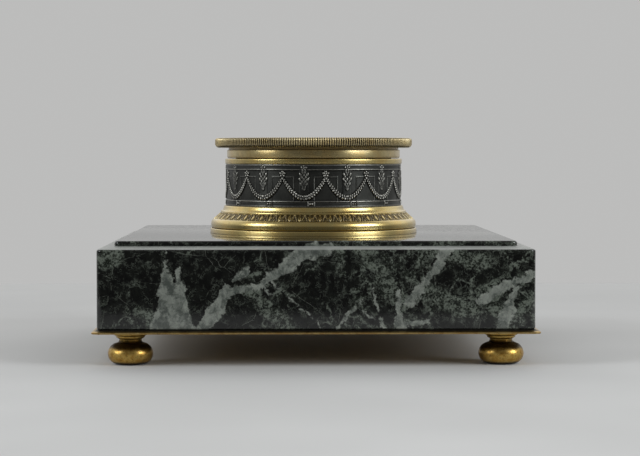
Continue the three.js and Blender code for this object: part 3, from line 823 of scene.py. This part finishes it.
def leaf_band_shape(angle, radius, height):
    """Engraving on the moulding's slope: upright lancet leaves between leaning strokes."""
    v = np.clip((height - LEAF_BAND_LOW) / (LEAF_BAND_HIGH - LEAF_BAND_LOW), 0, 1)
    inside = band(height, LEAF_BAND_LOW, LEAF_BAND_HIGH, 0.2) * (radius > SHELL_INNER + 0.5)
    u = (np.degrees(angle) / 360 * LEAVES) % 1.0 - 0.5
    lancet = 1 - step_up(np.abs(u) - 0.16 * np.sin(math.pi * v) ** 0.7, -0.02, 0.07)
    stroke = np.exp(-(((np.abs(u) - 0.20 - 0.26 * v) / 0.07) ** 2))
    tip = np.exp(-(((np.abs(u) - 0.5) / 0.11) ** 2)) * (1 - step_up(v, 0.35, 0.3))
    ribs = np.maximum.reduce([lancet, 0.9 * stroke, 0.9 * tip])
    depth = 0.34
    relief = -depth * inside * (1 - ribs)
    # The value falls down in the engraving, where the leaf brass darkens it: tarnish and painted shade.
    value = 1 - inside * (1 - ribs) ** 0.7
    return radius + relief, value


RIBS = 266


def rim_shape(angle, radius, height):
    """Rounded ribs all round the lid's rim, over its shoulder and part of its underside. The value is 1
    on the ribs and falls in the grooves, where the rim's brass darkens them: tarnish and painted shade.
    """
    on_rim = step_up(height, LID_UNDERSIDE + 0.12, 0.2) * step_up(radius, RIM_RADIUS - 1.75, 0.9)
    ridge = np.abs(np.sin(angle * RIBS / 2))
    depth = 0.42
    return radius - depth * on_rim * (1 - ridge), 1 - on_rim * (1 - ridge)


# ---- Pieces: drum ----


def build_plinth(material):
    profile = eased([
        (SHELL_INNER, SLAB_TOP),
        (PLINTH_RADIUS, SLAB_TOP),
        (PLINTH_RADIUS - 0.02, SLAB_TOP + 0.20),
        (PLINTH_RADIUS - 0.10, PLINTH_TOP - 0.30),
        (PLINTH_RADIUS - 0.25, PLINTH_TOP - 0.10),
        (PLINTH_RADIUS - 0.60, PLINTH_TOP),
        (SHELL_INNER, PLINTH_TOP),
    ], closed=True)
    lathe("plinth_ring", profile, material, "base", ["drum_plinth"], columns=256)


def build_leaf_moulding(material):
    belly = 2.5
    low_edge, high_edge = (35.62, LEAF_BAND_LOW - 0.15), (33.05, LEAF_BAND_HIGH + 0.1)
    slope = [
        (low_edge[0] + t * (high_edge[0] - low_edge[0]), low_edge[1] + t * (high_edge[1] - low_edge[1]))
        for t in np.linspace(0, 1, 30)
    ]
    profile = [
        (SHELL_INNER, PLINTH_TOP),
        (BELLY_RADIUS - 0.85, PLINTH_TOP),
        (BELLY_RADIUS - 0.40, PLINTH_TOP + 0.10),
        (BELLY_RADIUS - 0.10, PLINTH_TOP + 0.45),
        *arc(BELLY_RADIUS - belly, 43.15, belly, 0, 40, 8),
        *slope,
        *arc(32.48, 47.45, 0.50, -20, 90, 7),
        (32.30, 48.02),
        (32.12, 48.30),
        (31.95, 48.80),
        (31.80, 49.25),
        (31.72, MOULDING_TOP - 0.12),
        (31.60, MOULDING_TOP),
        (SHELL_INNER, MOULDING_TOP),
    ]
    lathe(
        "leaf_band_moulding", profile, material, "base", ["leaf_moulding"],
        columns=LEAVES * 18, shape=leaf_band_shape, value_name="engraved",
    )


def build_frieze(material):
    rows = 80
    outer = [(RELIEF_RADIUS, z) for z in np.linspace(MOULDING_TOP, COLLAR_FOOT, rows)]
    profile = [(SHELL_INNER, MOULDING_TOP), *outer, (SHELL_INNER, COLLAR_FOOT)]
    lathe(
        "swag_frieze", profile, material, "base", ["frieze_band"],
        columns=REPEATS * 88, shape=frieze_shape, value_name="relief", sharp=60.0,
    )


def build_collar(material):
    """A flat-faced bead outside, and inside a lip that stands up behind the lid's skirt."""
    height = COLLAR_TOP - COLLAR_FOOT
    collar_inner, lip, lip_top = 26.9, 27.55, 67.8
    profile = eased([
        (collar_inner, FRIEZE_TOP - 1.0),
        (SHELL_INNER - 0.3, FRIEZE_TOP - 1.0),
        (SHELL_INNER - 0.3, COLLAR_FOOT + 0.02),
        (COLLAR_RADIUS - 0.35, COLLAR_FOOT + 0.02),
        (COLLAR_RADIUS - 0.02, COLLAR_FOOT + height * 0.2),
        (COLLAR_RADIUS, COLLAR_TOP - height * 0.15),
        (COLLAR_RADIUS - 0.2, COLLAR_TOP),
        (lip, COLLAR_TOP),
        (lip, lip_top),
        (collar_inner, lip_top),
    ], size=0.2, closed=True)
    lathe("collar_bead", profile, material, "base", ["collar_ring"], columns=256)


def build_liner(material):
    wall, corner = 1.2, 1.2
    inner = 26.4 - wall
    floor = LINER_BOTTOM + wall
    profile = eased([
        (BOLT_HOLE, LINER_BOTTOM),
        (inner + wall - corner, LINER_BOTTOM),
        (inner + wall, LINER_BOTTOM + corner),
        (inner + wall, LINER_TOP - wall),
        (LINER_FLANGE, LINER_TOP - wall),
        (LINER_FLANGE, LINER_TOP),
        (inner, LINER_TOP),
        (inner, floor + corner),
        (inner - corner, floor),
        (BOLT_HOLE, floor),
    ], size=0.25, closed=True)
    lathe("liner_cup", profile, material, "base", ["well_liner"])


def build_pot(material):
    wall, lip, heel, floor_curve = 2.0, 0.8, 3.5, 5.0
    foot_inner, foot_outer = 17.4, 19.8
    outer = POT_INNER + wall
    floor = POT_BOTTOM + wall
    foot_height = 0.6
    outside = [
        (0, POT_BOTTOM + foot_height),
        (foot_inner - 0.4, POT_BOTTOM + foot_height),
        (foot_inner, POT_BOTTOM),
        (foot_outer, POT_BOTTOM),
        *arc(outer - heel, POT_BOTTOM + heel + foot_height, heel, -62, 0, 10),
        (outer, LINER_TOP + 0.01),
        (POT_FLANGE, LINER_TOP + 0.01),
        (POT_FLANGE, POT_TOP),
        (POT_INNER, POT_TOP),
        *arc(POT_INNER - floor_curve, floor + floor_curve, floor_curve, 0, -88, 14),
        (0, floor),
    ]
    lathe("porcelain_pot", eased(outside, size=lip / 2, steps=4), material, "pot", ["ink_pot"])


# ---- Pieces: lid ----


def build_lid_cap(material):
    curve, shoulder, rise = 1.5, 0.85, 0.2
    radii = (33.3, 32.6, 31.0, 26.0, 18.0, 9.0, 2.0)
    crown = [(r, LID_CROWN - rise * (r / RIM_RADIUS) ** 2) for r in radii]
    profile = [
        (0, LID_UNDERSIDE),
        (24.0, LID_UNDERSIDE),
        *arc(RIM_RADIUS - curve, LID_UNDERSIDE + curve, curve, -90, 0, 10),
        (RIM_RADIUS, LID_UNDERSIDE + 2.1),
        *arc(RIM_RADIUS - shoulder, LID_CROWN - rise - shoulder, shoulder, 0, 82, 8),
        *crown,
        (0, LID_CROWN),
    ]
    lathe(
        "milled_lid", profile, material, "lid", ["lid_cap"],
        columns=RIBS * 6, shape=rim_shape, value_name="milled", sharp=50.0,
    )


def build_lid_skirt(material):
    """A plain band with a groove under the rim; a tongue inside it nearly meets the collar."""
    inner, tongue = 28.0, SKIRT_RADIUS - 0.2
    neck, neck_bottom = SKIRT_RADIUS - 0.55, LID_UNDERSIDE - 0.85
    profile = eased([
        (inner, COLLAR_TOP + 0.2),
        (tongue, COLLAR_TOP + 0.2),
        (tongue + 0.05, LID_BOTTOM - 0.1),
        (SKIRT_RADIUS, LID_BOTTOM),
        (SKIRT_RADIUS, neck_bottom),
        (neck, neck_bottom + 0.12),
        (neck, LID_UNDERSIDE),
        (inner, LID_UNDERSIDE),
    ], size=0.14, closed=True)
    lathe("lid_skirt", profile, material, "lid", ["lid_ring"], columns=256)


# ---- Pieces: base ----


def build_marble(material):
    """The slab, tier and ledge. It is solid: the holes and recesses under it aren't cut."""
    edge, tier_edge, corner = 0.7, 0.9, 2.0

    def rounded(half, top, rounding, last, steps):
        edge_line = arc(half - rounding, top - rounding, rounding, 0, last, steps)
        return [(r, z, corner - (half - r)) for r, z in edge_line]

    levels = [
        (SLAB_HALF - 0.3, SLAB_BOTTOM, corner - 0.3),
        (SLAB_HALF, SLAB_BOTTOM + 0.3, corner),
        *rounded(SLAB_HALF, SLAB_EDGE_TOP + 0.1, edge, 80, 8),
        (TIER_HALF + 0.15, LEDGE_TOP - 0.02, corner + 0.15),
        (TIER_HALF, LEDGE_TOP + 0.13, corner),
        *rounded(TIER_HALF, SLAB_TOP, tier_edge, 90, 6),
    ]
    points, faces = square_shape(levels)
    make_mesh("marble_slab", points, faces, material, "base", ["marble_base"])


def build_plate(material):
    """The sheet under the marble, with its sloped edge. Its bolt and stud holes aren't cut."""
    lip, ease = 0.6, 0.15
    levels = [
        (PLATE_HALF - ease, PLATE_BOTTOM, 2.2),
        (PLATE_HALF, PLATE_BOTTOM + ease, 2.4),
        (PLATE_HALF, PLATE_BOTTOM + lip - ease, 2.4),
        (PLATE_HALF - ease, PLATE_BOTTOM + lip, 2.3),
        (PLATE_HALF - 0.85, PLATE_BOTTOM + lip + 0.16, 2.2),
        (PLATE_HALF - 1.45, PLATE_BOTTOM + lip + 0.42, 2.1),
        (SLAB_HALF - 0.3, PLATE_TOP, 2.0),
    ]
    points, faces = square_shape(levels)
    make_mesh("bronze_plate", points, faces, material, "base", ["base_plate"])


def build_foot(name, material):
    """One turned foot: flattened bun, waisted neck, stepped flange under the plate, and its stud."""
    low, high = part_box(name)
    centre = Vector(((low[0] + high[0]) / 2, (low[1] + high[1]) / 2, 0.0))
    radius = (high[0] - low[0]) / 2 / MM
    stud_top = high[2] / MM
    bun, neck, flange, stud = 3.45, 3.65, 5.45, 1.9
    profile = [
        (0, 0),
        (radius - bun - 0.6, 0),
        *arc(radius - bun, bun, bun, -86, 74, 22),
        (neck + 0.25, 2 * bun + 0.25),
        (neck, 2 * bun + 0.75),
        (neck, 8.15),
        (neck + 0.45, 8.35),
        (neck + 0.85, 8.65),
        (neck + 1.0, 9.05),
        (neck + 1.1, 9.25),
        (flange - 0.3, 9.35),
        (flange, 9.65),
        (flange, PLATE_BOTTOM - 0.15),
        (flange - 0.15, PLATE_BOTTOM),
        (stud, PLATE_BOTTOM),
        (stud, stud_top - 0.4),
        (stud - 0.4, stud_top),
        (0, stud_top),
    ]
    lathe(
        name.replace("foot", "bun_foot"), profile, material, "base", [name],
        columns=96, centre=np.array(centre) / MM,
    )


# ---- Pieces: nuts, bolt and hinge ----


def middle(node):
    """The centre of a CAD node, in mm."""
    low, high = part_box(node)
    return (low + high) / 2 / MM


def nut_shape(corner_radius):
    """A shape for lathe that cuts the outside down to a hexagon."""
    apothem = corner_radius * math.cos(math.pi / 6)

    def shape(angle, radius, height):
        flat = apothem / np.cos(angle % (math.pi / 3) - math.pi / 6)
        return np.minimum(radius, flat), np.zeros_like(radius)

    return shape


def build_nut(node, bore, material):
    low, high = (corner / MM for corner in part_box(node))
    corners = (high[1] - low[1]) / 2
    chamfer = 0.35
    profile = eased([
        (bore, low[2]),
        (corners - 2 * chamfer, low[2]),
        (corners, low[2] + chamfer),
        (corners, high[2] - chamfer),
        (corners - 2 * chamfer, high[2]),
        (bore, high[2]),
    ], size=0.1, closed=True)
    x, y, _ = middle(node)
    lathe(
        node.replace("nut", "hex_nut"), profile, material, "base", [node],
        columns=96, shape=nut_shape(corners), centre=(x, y, 0.0),
    )


def build_washer(material):
    profile = eased([
        (BOLT_HOLE, WASHER_BOTTOM),
        (WASHER_RADIUS, WASHER_BOTTOM),
        (WASHER_RADIUS, PLATE_BOTTOM),
        (BOLT_HOLE, PLATE_BOTTOM),
    ], size=0.2, closed=True)
    lathe("plain_washer", profile, material, "base", ["fixing_washer"], columns=96)


def thread_shape(bottom, top):
    """A shape for lathe that cuts a screw thread between two heights."""
    pitch, depth = 0.7, 0.3

    def shape(angle, radius, height):
        turn = (height / pitch - angle / (2 * math.pi)) % 1.0
        groove = 1 - 2 * np.abs(turn - 0.5)
        return radius - depth * groove * band(height, bottom, top, 0.3), np.zeros_like(radius)

    return shape


def slot_cutter(width, length, bottom, top):
    """A bar across the axis, as a (points, faces) pair, to cut a screwdriver slot."""
    x, y = length / 2, width / 2
    outline = ((-x, -y), (x, -y), (x, y), (-x, y))
    points = [(*corner, z) for z in (bottom, top) for corner in outline]
    sides = [(i, (i + 1) % 4, (i + 1) % 4 + 4, i + 4) for i in range(4)]
    return points, [(3, 2, 1, 0), (4, 5, 6, 7), *sides]


def build_bolt(material):
    radius, head_height, easing = 2.0, 1.3, 0.35
    head_bottom = BOLT_TOP - head_height
    thread_top = PLATE_TOP
    thread = [(radius, z) for z in np.arange(BOLT_END + 0.3, thread_top, 0.1)]
    profile = [
        (0, BOLT_END),
        (radius - 0.3, BOLT_END),
        *thread,
        (radius, head_bottom),
        (BOLT_HEAD - 0.1, head_bottom),
        (BOLT_HEAD, head_bottom + 0.1),
        *arc(BOLT_HEAD - easing, BOLT_TOP - easing, easing, 0, 80, 5),
        (BOLT_HEAD * 0.4, BOLT_TOP),
        (0, BOLT_TOP),
    ]
    bolt = lathe(
        "slotted_bolt", profile, material, "base", ["fixing_bolt"],
        columns=64, shape=thread_shape(BOLT_END, thread_top),
    )
    slot = loose("bolt_slot", slot_cutter(1.0, 12.0, BOLT_TOP - 0.7, BOLT_TOP + 1.0), material)
    combine(bolt, slot, "DIFFERENCE")


def build_screw(node, leaf, length, body, material):
    """A small slotted round head screw whose axis points out from the drum's axis."""
    shank, head, head_height = 0.6, 1.05, 0.55
    face = leaf["inner"] + LEAF_THICKNESS
    dome = [
        (head * math.cos(a), face + 0.08 + (head_height - 0.08) * math.sin(a))
        for a in np.radians(np.linspace(0, 85, 9))
    ]
    profile = [
        (0, face - length),
        (shank - 0.15, face - length),
        (shank, face - length + 0.15),
        (shank, face),
        (head - 0.05, face),
        *dome,
        (0, face + head_height),
    ]
    points, faces, _ = lathe_shape(profile, 48)
    centre = middle(node)
    outward = math.atan2(centre[0], centre[1])
    turn = Matrix.Translation((0, 0, centre[2] * MM))
    turn = turn @ Matrix.Rotation(-outward, 4, "Z") @ Matrix.Rotation(math.radians(-90), 4, "X")
    screw = loose(node.replace("hinge", "slotted"), (points, faces), material, turn)
    slot_angle = Matrix.Rotation(math.radians(25), 4, "Z")
    slot = slot_cutter(0.3, 3.0, face + head_height - 0.32, face + head_height + 0.5)
    combine(screw, loose("screw_slot", slot, material, turn @ slot_angle), "DIFFERENCE")
    settle(screw, body, node)


LEAF_HALF = 11.0                # half the width of both hinge leaves
LEAF_THICKNESS = 0.85
COLLAR_LEAF = {"inner": 31.55, "bottom": 58.4, "top": 64.9}
LID_LEAF = {"inner": 31.05, "bottom": 67.0, "top": 69.1}
BARREL_RADIUS = 1.4
BARREL_BORE = 0.72
BARREL_HALF = 7.0
LID_KNUCKLE_HALF = 2.6
KNUCKLE_GAP = 0.3


def curved_plate(inner, bottom, top):
    """A hinge leaf: a plate with round corners that follows the drum's wall at the back."""
    corner = 0.8
    near_end = corner * (1 - np.cos(np.radians(np.linspace(0, 90, 7))))
    inside = np.linspace(corner, 2 * LEAF_HALF - corner, 28)[1:-1]
    stations = np.concatenate([near_end, inside, 2 * LEAF_HALF - near_end[::-1]])
    loops = []
    for station in stations:
        from_end = min(station, 2 * LEAF_HALF - station, corner)
        inset = corner - math.sqrt(corner ** 2 - (corner - from_end) ** 2)
        section = eased([
            (inner, bottom + inset),
            (inner + LEAF_THICKNESS, bottom + inset),
            (inner + LEAF_THICKNESS, top - inset),
            (inner, top - inset),
        ], size=0.22, closed=True)
        angle = (station - LEAF_HALF) / (inner + LEAF_THICKNESS)
        loops.append([(r * math.sin(angle), r * math.cos(angle), z) for r, z in section])
    return loft(loops)


def knuckle(outline, low, high):
    """A knuckle along X from its outline in (y, z), a little smaller at both ends."""
    ease = 0.14
    _, pin_y, pin_z = middle("hinge_pin")
    loops = []
    for x, scale in ((low, 0.93), (low + ease, 1.0), (high - ease, 1.0), (high, 0.93)):
        loops.append([
            (x, pin_y + (y - pin_y) * scale, pin_z + (z - pin_z) * scale) for y, z in outline
        ])
    return loft(loops)


def along_pin(radius, low, high):
    """A rod along the hinge pin's line, to cut the bore."""
    _, pin_y, pin_z = middle("hinge_pin")
    turns = np.radians(np.linspace(0, 360, 32, endpoint=False))
    circle = [(pin_y + radius * math.cos(a), pin_z + radius * math.sin(a)) for a in turns]
    return loft([[(x, y, z) for y, z in circle] for x in (low, high)])


def build_hinge_leaf(name, node, leaf, outline, spans, body, material):
    """A curved leaf with one knuckle for each span along X, bored for the pin."""
    plate = loose(name, curved_plate(leaf["inner"], leaf["bottom"], leaf["top"]), material)
    for low, high in spans:
        combine(plate, loose("knuckle", knuckle(outline, low, high), material), "UNION")
    bore = along_pin(BARREL_BORE, -BARREL_HALF - 1, BARREL_HALF + 1)
    combine(plate, loose("bore", bore, material), "DIFFERENCE")
    settle(plate, body, node)


def build_hinge(material, screw_material):
    _, pin_y, pin_z = middle("hinge_pin")
    foot_inner = COLLAR_LEAF["inner"] + 0.25
    neck_bottom = COLLAR_LEAF["top"] - 1.2
    upright = [
        (foot_inner, neck_bottom),
        (foot_inner + 0.6, neck_bottom),
        (pin_y - 0.6, pin_z - 1.7),
        *arc(pin_y, pin_z, BARREL_RADIUS, -70, 195, 22),
        (foot_inner, pin_z - 1.0),
    ]
    outer = LID_KNUCKLE_HALF + KNUCKLE_GAP
    spans = ((-BARREL_HALF, -outer), (outer, BARREL_HALF))
    build_hinge_leaf(
        "drum_hinge_leaf", "hinge_collar_leaf", COLLAR_LEAF, upright, spans, "base", material,
    )

    neck_inner = LID_LEAF["inner"] + 0.25
    level = [
        (neck_inner, LID_LEAF["bottom"] + 0.9),
        (neck_inner, LID_LEAF["bottom"] + 0.05),
        *arc(pin_y, pin_z, BARREL_RADIUS, 155, 440, 24),
    ]
    spans = ((-LID_KNUCKLE_HALF, LID_KNUCKLE_HALF),)
    build_hinge_leaf("lid_hinge_leaf", "hinge_lid_leaf", LID_LEAF, level, spans, "lid", material)
    for side in ("left", "right"):
        build_screw(f"hinge_collar_screw_{side}", COLLAR_LEAF, 2.2, "base", screw_material)
        build_screw(f"hinge_lid_screw_{side}", LID_LEAF, 2.4, "lid", screw_material)
    build_pin(screw_material)


def build_pin(material):
    """The hinge pin, with a domed head peened over at each end."""
    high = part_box("hinge_pin")[1] / MM
    half = high[0]
    radius, head = 0.65, high[1] - middle("hinge_pin")[1]
    head_length = 0.5
    dome = [
        (head * math.cos(a), half - head_length * 0.6 + head_length * 0.6 * math.sin(a))
        for a in np.radians(np.linspace(0, 80, 7))
    ]
    upper = [(radius, 0.0), (radius, half - head_length), (head, half - head_length), *dome, (0, half)]
    profile = [(r, -z) for r, z in reversed(upper[1:])] + upper
    points, faces, _ = lathe_shape(profile, 40)
    centre = middle("hinge_pin")
    turn = Matrix.Translation(centre * MM) @ Matrix.Rotation(math.radians(90), 4, "Y")
    pin = loose("peened_pin", (points, faces), material, turn)
    settle(pin, "base", "hinge_pin")


# ---- Stage: floor, light and camera ----


def build_floor():
    """A pale table top that ends a little way behind the inkwell."""
    shader = Shader("pale_cloth")
    weave = shader.noise(0.8, detail=3.0)
    patches = shader.noise(120.0, detail=2.0)
    tone = shader.fade(patches, 0.3, 0.7, (0.60, 0.60, 0.595), (0.65, 0.65, 0.645))
    shader.set(Base_Color=tone, Roughness=0.95, Normal=shader.bump(weave, 0.05, 0.4))
    left, right, front, back = -450, 450, -300, 300
    corners = [(left, front, 0), (right, front, 0), (right, back, 0), (left, back, 0)]
    points = [*corners, *[(x, y, -12) for x, y, _ in corners]]
    sides = [(i, i + 4, (i + 1) % 4 + 4, (i + 1) % 4) for i in range(4)]
    floor = make_mesh("table_top", points, [(0, 1, 2, 3), (7, 6, 5, 4), *sides], shader.material, None)


def add_softbox(name, azimuth, height, distance, size, power):
    """A soft rectangular lamp, azimuth in degrees from the front, aimed at the drum."""
    lamp = bpy.data.lights.new(name, "AREA")
    lamp.shape = "RECTANGLE"
    lamp.size, lamp.size_y = size
    lamp.energy = power
    lamp.color = (0.95, 0.98, 1.0)
    holder = bpy.data.objects.new(name, lamp)
    turn = math.radians(azimuth)
    holder.location = (distance * math.sin(turn), -distance * math.cos(turn), height)
    aim = Vector((0, 0, SLAB_TOP * MM)) - holder.location
    holder.rotation_euler = aim.to_track_quat("-Z", "Y").to_euler()
    bpy.context.scene.collection.objects.link(holder)


def build_world():
    """Pale grey all round to look at; as light, a bright wall behind and a dim room in front."""
    world = bpy.data.worlds.new("studio")
    bpy.context.scene.world = world
    world.use_nodes = True
    background = world.node_tree.nodes["Background"]
    nodes = Nodes(world.node_tree)
    _, y, z = nodes.axes(nodes.node("ShaderNodeTexCoord").outputs["Generated"])
    wall = nodes.ramp(y, -0.10, 0.50, 0.09, 0.50)
    upper = nodes.times(wall, nodes.ramp(z, 0.08, 0.32, 1.0, 2.1))
    light = nodes.times(upper, nodes.ramp(z, -0.25, 0.0, 0.25, 1.0))
    seen = nodes.node("ShaderNodeLightPath").outputs["Is Camera Ray"]
    chosen = nodes.node("ShaderNodeMix", {"Factor": seen, "A": light, "B": 0.505})
    nodes.feed(background.inputs["Strength"], chosen.outputs["Result"])
    nodes.feed(background.inputs["Color"], (1.0, 1.0, 0.99, 1.0))


def build_camera():
    """Long lens a little left of the middle, level with the top of the drum."""
    distance, height, swing, pan = 0.641, 0.0678, 0.8, 0.207
    focal_pixels, image_width, sensor = 1800, 640, 36.0
    down = 2.354
    lens = bpy.data.cameras.new("camera")
    lens.sensor_width = sensor
    lens.lens = focal_pixels * sensor / image_width
    camera = bpy.data.objects.new("camera", lens)
    turn = math.radians(swing)
    camera.location = (-distance * math.sin(turn), -distance * math.cos(turn), height)
    camera.rotation_euler = (math.radians(90 - down), 0.0, -math.radians(swing + pan))
    bpy.context.scene.collection.objects.link(camera)
    bpy.context.scene.camera = camera


# ---- Build ----

build_camera()
build_world()
build_floor()
add_softbox("left_softbox", -66, 0.49, 1.05, (0.42, 0.50), 5.3)
add_softbox("right_softbox", 61, 0.44, 1.05, (0.52, 0.50), 6.6)

# Each brass's second colour is its tarnish, and also the painted shade that ambient occlusion puts in
# its crevices.
DRUM_BRASS = brass("drum_satin", "drum_brass", (0.58, 0.45, 0.155), (0.14, 0.095, 0.030), 0.27)
# Tarnish and painted shade: the second colour darkens the engraving's recesses.
LEAF_BRASS = brass(
    "leaf_satin", "drum_brass", (0.58, 0.45, 0.155), (0.105, 0.074, 0.024), 0.27,
    tarnish=0.3, relief="engraved",
)
# Tarnish and painted shade: the near-black second colour darkens the milled rim's grooves.
LID_BRASS = brass(
    "rim_satin", "lid_brass", (0.52, 0.42, 0.21), (0.040, 0.028, 0.012), 0.34,
    tarnish=0.12, crevice=0.8, relief="milled",
)
SKIRT_BRASS = brass("skirt_satin", "lid_brass", (0.54, 0.43, 0.19), (0.12, 0.085, 0.035), 0.28)
STEEL = steel()

build_marble(marble())
build_plate(plate_metal())
FOOT_METAL = foot_metal()
for place in CORNERS:
    build_foot(f"foot_{place}", FOOT_METAL)
build_plinth(DRUM_BRASS)
build_leaf_moulding(LEAF_BRASS)
build_frieze(dark_relief_metal())
build_collar(DRUM_BRASS)
build_liner(DRUM_BRASS)
build_pot(porcelain())
build_lid_cap(LID_BRASS)
build_lid_skirt(SKIRT_BRASS)

build_bolt(STEEL)
build_washer(STEEL)
build_nut("fixing_nut", BOLT_HOLE, STEEL)
for place in CORNERS:
    build_nut(f"foot_nut_{place}", STUD_HOLE, STEEL)
build_hinge(SKIRT_BRASS, STEEL)
